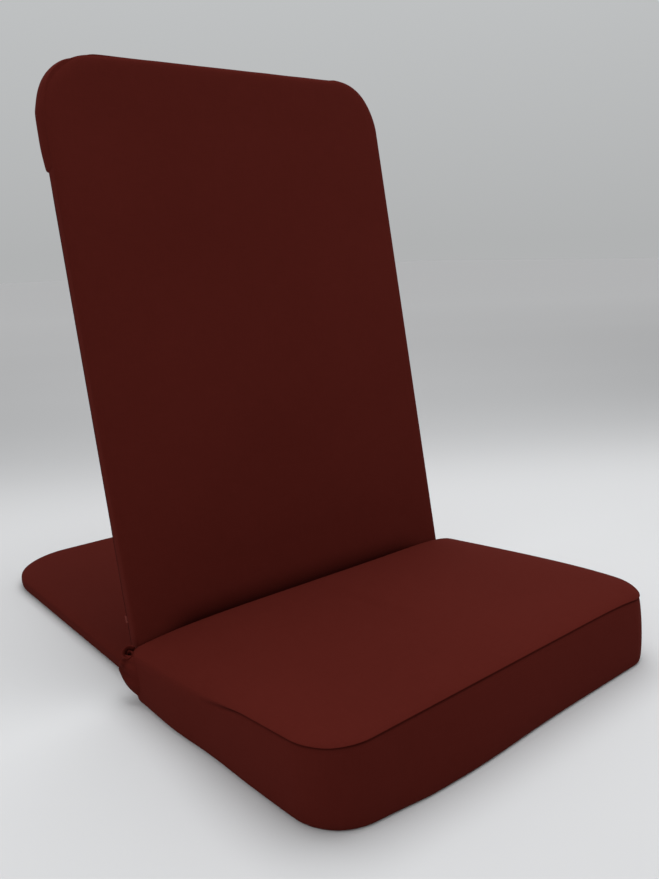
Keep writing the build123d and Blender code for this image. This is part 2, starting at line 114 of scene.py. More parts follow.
class FloorChairSeat(bpy.types.PropertyGroup):
    turn: bpy.props.FloatProperty(
        name="Turn", description="How far the loose cushion lies askew",
        default=radians(1.95), subtype="ANGLE", unit="ROTATION")
    shift: bpy.props.FloatProperty(
        name="Shift", description="How far the loose cushion lies to one side",
        default=0.0060, subtype="DISTANCE", unit="LENGTH")
    front_height: bpy.props.FloatProperty(
        name="Front height", description="Floor to the seam at the front",
        default=0.0755, subtype="DISTANCE", unit="LENGTH")
    rear_height: bpy.props.FloatProperty(
        name="Rear height", description="Floor to the seam at the rear",
        default=0.0515, subtype="DISTANCE", unit="LENGTH")
    crown: bpy.props.FloatProperty(
        name="Crown", description="How far the top swells above its seam",
        default=0.0070, subtype="DISTANCE", unit="LENGTH")
    pressed_up: bpy.props.FloatProperty(
        name="Pressed up", description="How much more it swells against the backrest",
        default=0.0065, subtype="DISTANCE", unit="LENGTH")


class FloorChairBack(bpy.types.PropertyGroup):
    hem_drop: bpy.props.FloatProperty(
        name="Hem drop", description="Hinge axis down to the lower hem, along the slope",
        default=0.012, subtype="DISTANCE", unit="LENGTH")
    hollow: bpy.props.FloatProperty(
        name="Hollow", description="How far the taut cloth sinks between the tubes",
        default=0.0012, subtype="DISTANCE", unit="LENGTH")
    tuck: bpy.props.FloatProperty(
        name="Tuck", description="How far the front cloth is drawn in behind the cushion",
        default=0.0040, subtype="DISTANCE", unit="LENGTH")
    pocket_length: bpy.props.FloatProperty(
        name="Pocket length", description="Top edge down to the hem of the rear pocket",
        default=0.117, subtype="DISTANCE", unit="LENGTH")


class FloorChairStage(bpy.types.PropertyGroup):
    focal_length: bpy.props.FloatProperty(
        name="Focal length", description="Of the camera, on a sensor 36 mm on its long side",
        default=34.83, min=10, max=200)
    floor_colour: bpy.props.FloatVectorProperty(
        name="Floor tint", description="Tint of the pale floor", subtype="COLOR",
        default=(0.998, 1.012, 1.036), min=0, max=1.1)
    wall_colour: bpy.props.FloatVectorProperty(
        name="Wall", description="Grey of the wall as the camera sees it", subtype="COLOR",
        default=(0.440, 0.448, 0.451), min=0, max=1)
    wall_top: bpy.props.FloatVectorProperty(
        name="Wall, higher up", description="Grey of the wall toward the top of the picture",
        subtype="COLOR", default=(0.520, 0.532, 0.538), min=0, max=1)
    overhead: bpy.props.FloatProperty(
        name="Overhead light", description="Power of the large lamp above",
        default=38.0, min=0, max=500, unit="POWER")
    side: bpy.props.FloatProperty(
        name="Side light", description="Power of the weak lamp on the left",
        default=3.6, min=0, max=500, unit="POWER")
    sky: bpy.props.FloatProperty(
        name="Room light", description="Strength of the even light from all round",
        default=0.71, min=0, max=3)


# ---- shader groups
def new_group(name, values, results):
    """A shader group that takes a vector and values, its output node and its inputs' sockets."""
    group = bpy.data.node_groups.new(name, "ShaderNodeTree")
    new_socket = group.interface.new_socket
    new_socket(name="Vector", in_out="INPUT", socket_type="NodeSocketVector")
    for label, default in values.items():
        socket = new_socket(name=label, in_out="INPUT", socket_type="NodeSocketFloat")
        socket.default_value = default
    for label in results:
        new_socket(name=label, in_out="OUTPUT", socket_type="NodeSocketFloat")
    enter = group.nodes.new("NodeGroupInput")
    leave = group.nodes.new("NodeGroupOutput")
    return group, leave, *(enter.outputs[label] for label in ("Vector", *values))


def feed(tree, node, values):
    """Sets a node's inputs to plain values, or links them to other sockets."""
    for name, value in values.items():
        if isinstance(value, bpy.types.NodeSocket):
            tree.links.new(value, node.inputs[name])
        else:
            node.inputs[name].default_value = value


def add(tree, kind, values, **settings):
    """A new shader node with its settings and its inputs."""
    node = tree.nodes.new("ShaderNode" + kind)
    for name, value in settings.items():
        setattr(node, name, value)
    feed(tree, node, values)
    return node


def maths(tree, operation, *values):
    """The result of a math node on sockets or numbers."""
    return add(tree, "Math", dict(enumerate(values)), operation=operation).outputs[0]


def weighted(tree, first, share, second):
    """The first socket times its share and the second times the rest."""
    return maths(tree, "ADD", maths(tree, "MULTIPLY", first, share),
                 maths(tree, "MULTIPLY", second, 1 - share))


def fractal(tree, vector, scale, detail, rough=0.5, twist=0.0):
    """Soft noise from 0 to 1."""
    return add(tree, "TexNoise", {"Vector": vector, "Scale": scale, "Detail": detail,
                                  "Roughness": rough, "Distortion": twist}).outputs["Fac"]


def bump(tree, height, strength, distance, **normal):
    """A bumped normal, over another one where it is given."""
    values = {"Height": height, "Strength": strength, "Distance": distance, **normal}
    return add(tree, "Bump", values).outputs["Normal"]


def plain_weave_group():
    """Warp over weft, with uneven threads: a height, and how dark each thread is."""
    group, leave, vector, pitch = new_group(
        "Plain weave", {"Pitch": 0.55 * MM}, ("Height", "Thread shade"))
    split = add(group, "SeparateXYZ", {0: vector})
    warp, weft = (maths(group, "SINE", maths(
        group, "DIVIDE", maths(group, "MULTIPLY", split.outputs[axis], pi), pitch)) for axis in "XY")
    over = maths(group, "MULTIPLY", warp, weft)
    round_threads = maths(group, "MAXIMUM", *(maths(group, "ABSOLUTE", t) for t in (warp, weft)))
    fine, long = 900.0, 45.0
    stretched = [add(group, "VectorMath", {0: vector, 1: scale}, operation="MULTIPLY").outputs[0]
                 for scale in ((fine, long, 1.0), (long, fine, 1.0))]
    slubs = [fractal(group, run, 1.0, detail=2.0) for run in stretched]
    feed(group, leave, {"Height": weighted(group, over, 0.35, round_threads),
                        "Thread shade": weighted(group, slubs[0], 0.5, slubs[1])})
    return group


def soft_crease_group():
    """Shallow drag lines and puckers in pulled cloth."""
    group, leave, vector, scale = new_group("Soft creases", {"Scale": 6.0}, ("Height", "Mottle"))
    feed(group, leave, {"Height": fractal(group, vector, scale, detail=3.0, rough=0.45, twist=0.6),
                        "Mottle": fractal(group, vector, 3.0, detail=4.0, rough=0.6)})
    return group


def fine_grain_group():
    """Orange peel and handling marks on coated or moulded hardware."""
    group, leave, vector, scale = new_group("Fine grain", {"Scale": 900.0}, ("Height", "Marks"))
    feed(group, leave, {"Height": fractal(group, vector, scale, detail=2.0),
                        "Marks": fractal(group, vector, 45.0, detail=5.0, rough=0.7)})
    return group


def effect(name):
    """The shared shader group of that name, built on first use."""
    builders = {"Plain weave": plain_weave_group, "Soft creases": soft_crease_group,
                "Fine grain": fine_grain_group}
    return bpy.data.node_groups.get(name) or builders[name]()


# ---- materials
def blank_material(name):
    """A new material, its tree and its shader."""
    material = bpy.data.materials.new(name)
    material.use_nodes = True
    tree = material.node_tree
    return material, tree, tree.nodes["Principled BSDF"]


def placed(tree, name, values):
    """One of the shared shader groups, set in a material."""
    return add(tree, "Group", values, node_tree=effect(name)).outputs


def colour_ramp(tree, factor, dark, light, low=0.35, high=0.65):
    """A colour between dark and light by the factor."""
    ramp = add(tree, "ValToRGB", {"Fac": factor})
    for stop, position, colour in zip(ramp.color_ramp.elements, (low, high), (dark, light)):
        stop.position, stop.color = position, (*colour, 1)
    return ramp.outputs["Color"]


def cloth_material(name, dark, light, pitch, weave_depth, crease=0.35):
    """Matt woven cloth: thread bump, slubs, faint mottling, creases, dark seams and painted shade."""
    if existing := bpy.data.materials.get(name):
        return existing
    material, tree, shader = blank_material(name)
    flat = add(tree, "UVMap", {}, uv_map="Cloth").outputs["UV"]
    place = add(tree, "TexCoord", {}).outputs["Object"]
    weave = placed(tree, "Plain weave", {"Vector": flat, "Pitch": pitch})
    folds = placed(tree, "Soft creases", {"Vector": place, "Scale": 7.0})
    cloth = colour_ramp(tree, weighted(tree, weave["Thread shade"], 0.55, folds["Mottle"]), dark, light)
    # the seam attribute darkens the cloth: dark seams, and painted shade in creases, hollows and
    # undersides
    seam = add(tree, "Attribute", {}, attribute_name="seam").outputs["Fac"]
    dimmed = add(tree, "Mix", {"Factor": maths(tree, "MULTIPLY", seam, 0.9), "A": cloth,
                               "B": (0.16, 0.13, 0.13, 1)}, data_type="RGBA", blend_type="MULTIPLY")
    creased = bump(tree, folds["Height"], crease, 4 * MM)
    woven = bump(tree, weave["Height"], weave_depth, 0.3 * MM, Normal=creased)
    feed(tree, shader, {
        "Base Color": dimmed.outputs["Result"], "Normal": woven, "Roughness": 0.92,
        "Specular IOR Level": 0.015, "Sheen Weight": 0.045, "Sheen Roughness": 0.45,
        "Sheen Tint": (0.60, 0.09, 0.06, 1)})
    return material


def maroon_cloth(name="Maroon cloth", depth=1.0):
    """The upholstery cloth, its colours scaled by depth; a depth below 1 is painted shade."""
    cloth = bpy.context.scene.floor_chair_cloth
    dark, light = ([depth * part for part in colour] for colour in (cloth.maroon, cloth.maroon_worn))
    return cloth_material(name, dark, light, cloth.thread_pitch, cloth.weave_depth)


def strap_cloth():
    """Coarse dark webbing."""
    return cloth_material("Strap webbing", (0.020, 0.0035, 0.003), (0.031, 0.005, 0.004),
                          pitch=1.2 * MM, weave_depth=0.5, crease=0.1)


def hardware_material(name, dark, light, roughness, metallic, grain_scale, depth):
    """Coated steel, bare steel or moulded plastic with fine grain and faint marks."""
    if existing := bpy.data.materials.get(name):
        return existing
    material, tree, shader = blank_material(name)
    place = add(tree, "TexCoord", {}).outputs["Object"]
    grain = placed(tree, "Fine grain", {"Vector": place, "Scale": grain_scale})
    spread = 0.18
    rough = maths(tree, "ADD", maths(tree, "MULTIPLY", grain["Marks"], spread), roughness - spread / 2)
    feed(tree, shader, {
        "Base Color": colour_ramp(tree, grain["Marks"], dark, light, 0.3, 0.75), "Roughness": rough,
        "Metallic": metallic, "Normal": bump(tree, grain["Height"], depth, 0.2 * MM)})
    return material


# ---- padded forms
def clamped(x):
    """A number held between 0 and 1."""
    return min(max(x, 0), 1)


def eased(low, high, count):
    """Places from low to high, closer together near both ends."""
    s, closer = np.linspace(0, 1, count + 1), 0.55
    return low + (high - low) * (s - closer * np.sin(2 * pi * s) / (2 * pi))


def pressed_grid(half, low, high, r_low, r_high, step):
    """A grid of points pressed into a rectangle with rounded corners."""
    across = 2 * round(half / step)
    along = 2 * round((high - low) / step / 2)
    u, v = np.meshgrid(eased(-half, half, across), eased(low, high, along))
    middle = (low + high) / 2
    for r, edge, side in ((r_low, low, -1), (r_high, high, 1)):
        p = (np.abs(u) - (half - r)) / r
        q = (side * (v - edge) + r) / r
        corner = (p > 0) & (q > 0) & (side * (v - middle) > 0)
        pc, qc = p[corner], q[corner]
        u[corner] = np.sign(u[corner]) * (half - r + r * pc * np.sqrt(1 - qc * qc / 2))
        v[corner] = edge - side * r + side * r * qc * np.sqrt(1 - pc * pc / 2)
    return u, v


def rim_of(u, v, half, low, high, r_low, r_high):
    """Grid places of the rim in order, with the outward direction at each."""
    rows, cols = u.shape
    ring = [(0, i) for i in range(cols - 1)]
    ring += [(j, cols - 1) for j in range(rows - 1)]
    ring += [(rows - 1, i) for i in range(cols - 1, 0, -1)]
    ring += [(j, 0) for j in range(rows - 1, 0, -1)]
    directions = []
    for j, i in ring:
        x, y = u[j, i], v[j, i]
        r, centre = (r_low, low + r_low) if y < (low + high) / 2 else (r_high, high - r_high)
        dx = x - np.clip(x, -(half - r), half - r)
        past = (y < centre) if y < (low + high) / 2 else (y > centre)
        dy = (y - centre) if past else 0.0
        length = max((dx * dx + dy * dy) ** 0.5, 1e-9)
        directions.append((dx / length, dy / length))
    return ring, np.array(directions)


def edge_distance(u, v, half, low, high, r_low, r_high):
    """How far each point lies inside the rounded outline."""
    r = np.where(v < (low + high) / 2, r_low, r_high)
    qx = np.abs(u) - (half - r)
    qy = np.abs(v - (low + high) / 2) - ((high - low) / 2 - r)
    outside = np.hypot(np.maximum(qx, 0), np.maximum(qy, 0))
    return np.maximum(r - outside - np.minimum(np.maximum(qx, qy), 0), 0)


def zero(u, v, d):
    """Flat on the floor, or no darkening."""
    return np.zeros_like(u)


def padded_form(name, outline, step, top, bottom, side_levels, place, material, seam_levels=None,
                sewn=lambda u, v: 1.0, loose_levels=None, shade=zero):
    """A closed padded form.  outline is (half width, low, high, low radius, high radius); top and
    bottom give heights over it.  side_levels run from top to bottom as (inset, share, offset):
    the height lies between the rims by share, plus offset.  seam_levels gives how dark the
    drawn-in levels are, sewn how far they are drawn in at each place, and loose_levels the levels
    where they aren't.  shade gives painted shade on the top.  place turns (u, v, w) into the part's own
    frame."""
    seam_levels = seam_levels or {}
    loose_levels = loose_levels or [
        (side_levels[n - 1][0] if n in seam_levels else level[0], *level[1:])
        for n, level in enumerate(side_levels)]
    half, low, high = outline[:3]
    u, v = pressed_grid(*outline, step)
    ring, outward = rim_of(u, v, *outline)
    d = edge_distance(u, v, *outline)
    top_w, bottom_w = top(u, v, d), bottom(u, v, d)
    # painted shade on the top, kept with the seam marks
    dark = shade(u, v, d)
    points, cloth, seam_and_shade_marks = [], [], []

    def keep(x, y, w, flat, seam):
        points.append(place(x, y, w))
        cloth.append(flat)
        seam_and_shade_marks.append(seam)

    for x, y, w, seam in zip(u.flat, v.flat, top_w.flat, dark.flat):
        keep(x, y, w, (x, y), seam)
    level_start = len(points)
    run, runs = 0.0, []
    for here, after in zip(ring, ring[1:] + ring[:1]):
        runs.append(run)
        run += float(np.hypot(u[after] - u[here], v[after] - v[here]))
    for number, (tight, loose) in enumerate(zip(side_levels, loose_levels)):
        for spot, run, (right, ahead) in zip(ring, runs, outward):
            drawn = sewn(u[spot], v[spot])
            inset, share, offset = (a * drawn + b * (1 - drawn) for a, b in zip(tight, loose))
            w = top_w[spot] + (bottom_w[spot] - top_w[spot]) * share + offset
            keep(u[spot] - right * inset, v[spot] - ahead * inset, w, (run, w),
                 drawn * seam_levels.get(number, 0.0))
    under_start = len(points)
    shrink = side_levels[-1][0] + 2 * MM
    for x, y, w in zip(u.flat, v.flat, bottom_w.flat):
        keep(x * (1 - shrink / half), y + (low + high - 2 * y) * shrink / (high - low), w, (x, y), 0.0)
    rows, cols = u.shape
    faces = []
    for j in range(rows - 1):
        for i in range(cols - 1):
            a = j * cols + i
            b = under_start + a
            faces += [(a, a + 1, a + cols + 1, a + cols), (b, b + cols, b + cols + 1, b + 1)]
    count = len(ring)
    rim = [j * cols + i for j, i in ring]
    rims = [rim]
    rims += [[level_start + n * count + k for k in range(count)] for n in range(len(side_levels))]
    rims += [[under_start + n for n in rim]]
    for upper, lower in zip(rims[:-1], rims[1:]):
        for k in range(count):
            n = (k + 1) % count
            faces.append((upper[k], lower[k], lower[n], upper[n]))
    return finished(name, points, faces, cloth, seam_and_shade_marks, material)


def finished(name, points, faces, cloth, marks, material):
    """A smooth piece, subdivided once.  cloth is where each point lies on the flat cloth, and
    marks how dark it is there."""
    mesh = bpy.data.meshes.new(name)
    mesh.from_pydata([tuple(p) for p in points], [], faces)
    mesh.update()
    index = np.empty(len(mesh.loops), dtype=np.int32)
    mesh.loops.foreach_get("vertex_index", index)
    uv = mesh.uv_layers.new(name="Cloth")
    uv.data.foreach_set("uv", np.array(cloth)[index].astype(np.float32).ravel())
    # dark seams and painted shade both go into the seam attribute
    mark = mesh.attributes.new("seam", "FLOAT", "POINT")
    mark.data.foreach_set("value", np.array(marks, dtype=np.float32))
    mesh.materials.append(material)
    piece = bpy.data.objects.new(name, mesh)
    bpy.context.scene.collection.objects.link(piece)
    smooth = piece.modifiers.new("Smooth", "SUBSURF")
    smooth.levels = smooth.render_levels = 1
    dressed = piece.evaluated_get(bpy.context.evaluated_depsgraph_get())
    fine = bpy.data.meshes.new_from_object(dressed)
    piece.modifiers.clear()
    piece.data = fine
    fine.name = mesh.name
    bpy.data.meshes.remove(mesh)
    for polygon in fine.polygons:
        polygon.use_smooth = True
    return piece


def mm_levels(*levels):
    """Side levels from (inset, share, offset), with inset and offset in millimetres."""
    return [(inset * MM, share, offset * MM) for inset, share, offset in levels]


def ripple(x, y, z, scale, seed=0.0):
    """Even noise from -1 to 1 at a point in metres."""
    return noise.noise(Vector((x * scale + seed, y * scale - seed, z * scale + 0.37 * seed)))


def ripples(u, v, scale_u, scale_v, seed):
    """Noise over a whole grid."""
    flat = [noise.noise(Vector((a * scale_u + seed, b * scale_v - seed, seed * 0.37)))
            for a, b in zip(u.ravel(), v.ravel())]
    return np.array(flat).reshape(u.shape)


def skinned(name, chains, material):
    """A closed form through each chain of rings of points, with its ends drawn together."""
    points, marks, faces = [], [], []
    for rings, seam_and_shade_marks in chains:
        start, count = len(points), len(rings[0])
        points += [p for ring in rings for p in ring]
        marks += [m for ring in seam_and_shade_marks for m in ring] if seam_and_shade_marks else [0.0] * (len(points) - start)
        for n in range(len(rings) - 1):
            for k in range(count):
                a, b = start + n * count + k, start + n * count + (k + 1) % count
                faces.append((a, b, b + count, a + count))
        for ring, turned in ((0, True), (len(rings) - 1, False)):
            points.append(sum(rings[ring], Vector()) / count)
            marks.append(marks[start + ring * count])
            for k in range(count):
                a, b = start + ring * count + k, start + ring * count + (k + 1) % count
                faces.append((b, a, len(points) - 1) if turned else (a, b, len(points) - 1))
    cloth = [(p.y + p.x, p.z + 0.5 * p.x) for p in points]
    return finished(name, points, faces, cloth, marks, material)


def back_panel_size():
    """Half the width of the backrest's cloth, and its height up the slope from the pivot."""
    low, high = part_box("back_front_panel")
    half = (high.x - low.x) / 2
    return half, (high.z - PIVOT.z) / cos(BACK_TILT) - COVER_HALF_THICKNESS * tan(BACK_TILT)


def on_back(u, v, w):
    """From the backrest's own plane to the part's frame."""
    return PIVOT + Vector((u, 0, 0)) + UP_SLOPE * v + BACK_FRONT * w


def pulled_corner(u, v, half, tall, radius, pulls):
    """How far the cloth is pulled out of a round top corner, as (sideways, up)."""
    across, upward = abs(u) - (half - radius), v - (tall - radius)
    if across <= 0 or upward <= 0:
        return 0.0, 0.0
    angle = atan2(upward, across)
    out = sum(size * MM * exp(-((angle - centre) / width) ** 2) for size, centre, width in pulls)
    fade = 6 * MM
    out *= min(across / fade, 1) * min(upward / fade, 1)
    out *= min((across ** 2 + upward ** 2) ** 0.5 / radius, 1) ** 6
    return (1 if u > 0 else -1) * out * cos(angle), out * sin(angle)


# ---- operators
class FLOORCHAIR_OT_seat_cushion(bpy.types.Operator):
    """Boxed wedge cushion with a crowned top and a sewn edge"""
    bl_idname = "floor_chair.seat_cushion"
    bl_label = "Seat cushion"

    def execute(self, context):
        seat = context.scene.floor_chair_seat
        low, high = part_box("seat_foam")
        half = (high.x - low.x) / 2 - 1.0 * MM
        front, rear = PIVOT.y - low.y, 9.8 * MM
        depth = front - rear
        front_corner, rear_corner = 46 * MM, 14 * MM
        outline = (half, -front, -rear, front_corner, rear_corner)

        def sewn(u, v):
            """1 where the seam draws the side in, 0 where it is loose and round."""
            return clamped(((-rear - v) / depth - SEWN_FROM) / SEWN_FADE)

        def top(u, v, d):
            forward = np.maximum(-rear - v, 0)
            share = forward / depth
            inward, right = np.maximum(half - np.abs(u), 0), np.clip(u / half, 0, 1)
            seam = seat.rear_height + (seat.front_height - seat.rear_height) * share
            left_rise, right_rise, front_rise, pressed_reach = 45 * MM, 24 * MM, 45 * MM, 90 * MM
            sides = 1 - np.exp(-inward / np.where(u > 0, right_rise, left_rise))
            ahead = 1 - np.exp(-np.maximum(v + front, 0) / front_rise)
            swell = (seat.crown + seat.pressed_up * np.exp(-forward / pressed_reach)) * sides * ahead
            roll = 1 - np.exp(-d / ((6 - 3.5 * np.exp(-forward / (20 * MM))) * MM))
            dip = 0.9 * MM * ripples(u, v, 6, 7, 3.1) * np.minimum(d / (30 * MM), 1)
            lift = 4.2 * MM * right ** 2 * (1 - share ** 4) - 3.6 * MM * right ** 6 * share ** 8
            # the left side's loose rear has no lip, and slopes off
            unsewn = 1 - np.clip((share - SEWN_FROM) / SEWN_FADE, 0, 1)
            lip = 2.8 * MM * (1 - np.exp(-d / (3.5 * MM))) * (1 - np.exp(-forward / (50 * MM)))
            soft = 5.5 * MM * np.exp(-inward / (9 * MM)) * (1 - np.exp(-forward / (30 * MM)))
            edge = lip * (1 - unsewn * (u < 0)) - soft * unsewn * (u < 0)
            # the front right corner hangs
            corner = np.exp(-(np.maximum(half - u, 0) / (50 * MM)) ** 2) * share ** 10
            shoulder = 4.5 * MM * corner * np.exp(-d / (10 * MM))
            return seam + swell * roll + dip + lift + edge - shoulder

        def place(u, v, w):
            share = (-rear - v) / depth
            ahead = max(0, share)
            askew = sin(seat.turn)
            left, right = max(0, -u / half) ** 8, max(0, u / half) ** 8
            # the rear's foot is tucked forward, the front's is pressed in and its left end curls up
            tucked = 6 * MM * max(0, 1 - w / (45 * MM)) * max(0, 1 - share / 0.15)
            sunk = max(0, 1 - w / (75 * MM)) * ahead ** 4 * clamped((u + 200 * MM) / (70 * MM))
            sunk *= (5.5 + 4 * exp(-((u + 70 * MM) / (80 * MM)) ** 2)) * MM
            curl = 5 * MM * max(0, 1 - w / (50 * MM)) * left * ahead ** 6
            loose = (1 - sewn(u, v)) * (1 - exp(-ahead / 0.12))
            spread = 5.2 * MM * max(0, 1 - w / (60 * MM)) * exp(-((share - 0.27) / 0.2) ** 2)
            bow = 0.8 * MM * ripple(u, v, w, 5, 8.2)
            bow += (3.2 * MM * loose - spread + curl) * left - 7.2 * MM * right * ahead ** 3
            return Vector((seat.shift + u + depth * askew * share + bow,
                           PIVOT.y + v + u * askew * share - tucked - sunk + curl, w))

        def shade(u, v, d):
            """Painted shade in the crease where the cushion is pushed against the backrest."""
            return 0.8 * np.exp(-((-rear - v) / (2.2 * MM)) ** 2)

        levels = mm_levels(
            (1.2, 0.0, 0.5), (2.6, 0.0, -0.5), (1.1, 0.0, -1.6), (0.2, 0.10, 0), (-0.9, 0.32, 0),
            (-1.2, 0.55, 0), (-0.6, 0.78, 0), (0.2, 0.92, 0), (1.3, 0.985, 0), (3.6, 1.0, 0))
        round_levels = mm_levels(
            (-1.3, 0.0, -1.7), (-2.4, 0.0, -4.2), (-3.1, 0.0, -7.4), (-3.4, 0.24, 0), (-3.4, 0.40, 0),
            (-3.0, 0.58, 0), (-2.0, 0.78, 0), (-0.6, 0.92, 0), (0.8, 0.985, 0), (3.2, 1.0, 0))
        piece = padded_form("seat_cushion", outline, 5.5 * MM, top, zero, levels, place,
                            maroon_cloth(), seam_levels={1: 1.0}, sewn=sewn,
                            loose_levels=round_levels, shade=shade)
        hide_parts("seat_foam", "seat_top_panel", "seat_side_band", "seat_bottom_panel")
        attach(piece, "base")
        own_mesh(piece)
        return {"FINISHED"}


class FLOORCHAIR_OT_backrest_cover(bpy.types.Operator):
    """Taut cloth cover of the backrest, with a side strip between two seams"""
    bl_idname = "floor_chair.backrest_cover"
    bl_label = "Backrest cover"

    def execute(self, context):
        back, seat = context.scene.floor_chair_back, context.scene.floor_chair_seat
        half, tall = back_panel_size()
        outline = (half, -back.hem_drop, tall, 5 * MM, BACK_CORNER)
        thick = 9.4 * MM

        def above_cushion(u, v):
            """How far up the slope from where the cushion's rear edge meets the cloth."""
            rise = 1 - np.exp(-(half - np.abs(u)) / (35 * MM))
            crest = seat.rear_height + (seat.crown + seat.pressed_up) * rise
            return np.maximum(v - (crest - 8 * MM - PIVOT.z) / cos(BACK_TILT), 0)

        def taut(d):
            """How far the cloth lies in between the tubes, and where it rolls over the edge."""
            return (back.hollow * np.clip((d - 12 * MM) / (50 * MM), 0, 1)
                    + 1.4 * MM * np.exp(-d / (2 * MM)))

        def top(u, v, d):
            drag = 0.35 * MM * ripples(u, v, 2.2, 14, 5.7) * np.clip(d / (30 * MM), 0, 1)
            between_tubes = np.clip((half - np.abs(u) - 24 * MM) / (50 * MM), 0, 1)
            tucked = back.tuck * np.clip(1 - above_cushion(u, v) / (24 * MM), 0, 1) ** 2
            tucked *= between_tubes ** 2 * (3 - 2 * between_tubes)
            # the edge lies back at the upper left corner
            from_left, from_top = np.maximum(half + u - 10 * MM, 0), np.maximum(tall - v - 30 * MM, 0)
            corner = np.exp(-(from_left / (60 * MM)) ** 2 - (from_top / (50 * MM)) ** 2)
            rim = 2.6 * MM * corner * (1 + 0.4 * ripples(u, v, 30, 30, 9.3)) * np.exp(-d / (6 * MM))
            return thick - taut(d) + drag - tucked - rim

        def bottom(u, v, d):
            drag = 0.4 * MM * ripples(u, v, 2.6, 11, 1.3) * np.clip(d / (30 * MM), 0, 1)
            return -(thick - taut(d) - drag)

        def shade(u, v, d):
            """Painted shade in the crease over the cushion's rear edge."""
            inward = np.clip((half - np.abs(u)) / (60 * MM), 0.1, 1)
            return 0.75 * np.exp(-above_cushion(u, v) / (10 * MM)) * inward

        def sewn(u, v):
            """The pocket lies over most of the seam toward the top."""
            return 1 - 0.8 * clamped((v - tall + 140 * MM) / (30 * MM))

        def place(u, v, w):
            pulls = RIGHT_PULLS if u > 0 else ()
            sideways, up = pulled_corner(u, v, half, tall, BACK_CORNER, pulls)
            # the lower corners hang over the hinges
            droop = 4.5 * MM * exp(-((half - abs(u)) / (11 * MM)) ** 2)
            droop *= exp(-max(v + back.hem_drop, 0) / (7 * MM))
            return on_back(u + sideways, v + up - droop, w)

        levels = mm_levels((-0.2, 0.03, 0), (0.7, 0.07, 0), (-0.1, 0.12, 0), (-0.5, 0.30, 0),
                           (-0.5, 0.70, 0), (-0.1, 0.88, 0), (0.7, 0.93, 0), (-0.2, 0.97, 0))
        piece = padded_form("backrest_cover", outline, 6 * MM, top, bottom, levels, place,
                            maroon_cloth(), seam_levels={1: 0.3, 5: 0.5, 6: 1.0, 7: 1.0},
                            sewn=sewn, shade=shade)
        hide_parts("back_front_panel", "back_rear_panel", "back_gusset", "back_hem_strip",
                    "back_pad")
        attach(piece, "backrest")
        return {"FINISHED"}


class FLOORCHAIR_OT_rear_pocket(bpy.types.Operator):
    """Pocket drawn over the rear and the edges of the top of the backrest"""
    bl_idname = "floor_chair.rear_pocket"
    bl_label = "Rear pocket"

    def execute(self, context):
        back = context.scene.floor_chair_back
        over = 1.6 * MM
        half, tall = (size + over for size in back_panel_size())
        hem, radius = tall - back.pocket_length, BACK_CORNER + 2 * MM
        outline = (half, hem, tall, 3 * MM, radius)

        def top(u, v, d):
            return np.full_like(u, 7.2 * MM)

        def bottom(u, v, d):
            puff = 2.5 * MM * np.clip(d / (30 * MM), 0, 1)
            drag = 1.2 * MM * ripples(u, v, 9, 16, 2.2) * np.clip(d / (20 * MM), 0, 1)
            return -(11.4 * MM + puff + drag)

        def place(u, v, w):
            height = (v - hem) / back.pocket_length
            swell = 2.2 * MM * max(0.0, sin(pi * clamped(height * 1.7)))
            pucker = 0.9 * MM * ripple(u, v, w, 38, 4.4) * clamped(height * 2.4)
            # its front rim slips under the cover's edge
            under = clamped((w - 2.5 * MM) / (4 * MM))
            push = (swell + pucker) * (1 - under) * (1 if u > 0 else -1) * min(abs(u) / half, 1) ** 8
            push -= 2.2 * MM * under * u / half
            pulls = RIGHT_PULLS if u > 0 else LEFT_POCKET_PULLS
            sideways, up = pulled_corner(u, v, half, tall, radius, pulls)
            u += sideways
            v += up - 0.6 * MM * under * height
            return on_back(u + push, v + 0.5 * MM * ripple(u, v, w, 30, 7.7), w)

        levels = mm_levels((0.2, 0.03, 0), (-0.4, 0.12, 0), (-0.7, 0.35, 0), (-0.5, 0.75, 0),
                           (0.4, 0.93, 0), (2.0, 0.985, 0))
        piece = padded_form("rear_pocket", outline, 5 * MM, top, bottom, levels, place, maroon_cloth())
        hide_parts("back_hood")
        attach(piece, "backrest")
        return {"FINISHED"}


